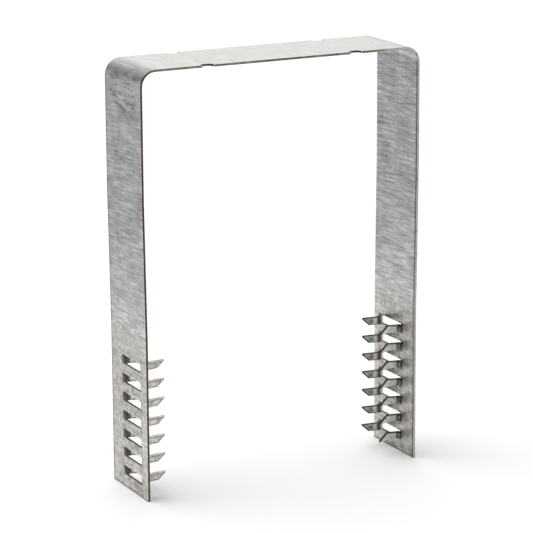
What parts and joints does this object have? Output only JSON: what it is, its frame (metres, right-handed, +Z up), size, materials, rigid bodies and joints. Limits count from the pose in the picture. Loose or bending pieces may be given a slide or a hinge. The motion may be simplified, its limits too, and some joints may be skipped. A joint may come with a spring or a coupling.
{
  "type": "stud tie",
  "caption": "Galvanised sheet-steel strap folded into an upright U with punched teeth on its legs; straps over a timber plate and ties it to the stud below.",
  "frame": {"origin": "midway between the two leg ends, on the plane they stand on", "axes": "+X along the crossbar, +Y across the strap, +Z up from the leg ends to the crossbar"},
  "size_m": [0.0926, 0.025, 0.13],
  "materials": {
    "zinc_sheet": "galvanised, satin, with fine streaks across the strap and bare sheared edges"
  },
  "bodies": {
    "root": {"tie_strap": "zinc_sheet"}
  },
  "joints": []
}
